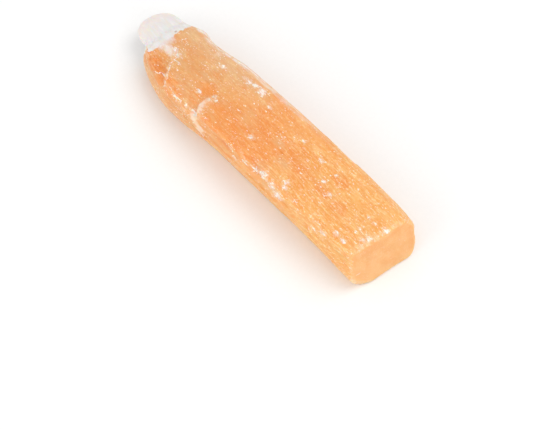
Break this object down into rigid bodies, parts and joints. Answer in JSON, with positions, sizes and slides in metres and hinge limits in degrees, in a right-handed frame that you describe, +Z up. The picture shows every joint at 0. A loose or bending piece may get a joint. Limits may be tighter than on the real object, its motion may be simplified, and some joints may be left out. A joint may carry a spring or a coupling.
{
  "type": "selenite crystal blade",
  "caption": "Rough fibrous stick of orange selenite lying flat, with a pale natural tongue at one end and a smooth slanted saw cut at the other.",
  "frame": {"origin": "middle of the bounding box's underside, in the flat cleavage face that the blade lies on", "axes": "+X runs along the fibres from the pale tip to the sawn end, +Y is across the blade, +Z is up out of the face it lies on"},
  "size_m": [0.114, 0.0284, 0.0158],
  "materials": {
    "orange_selenite": "fibrous satin lustre, pale frosted edges, white tip and a matte sawn end"
  },
  "bodies": {
    "root": {"crystal_blade": "orange_selenite"}
  },
  "joints": []
}
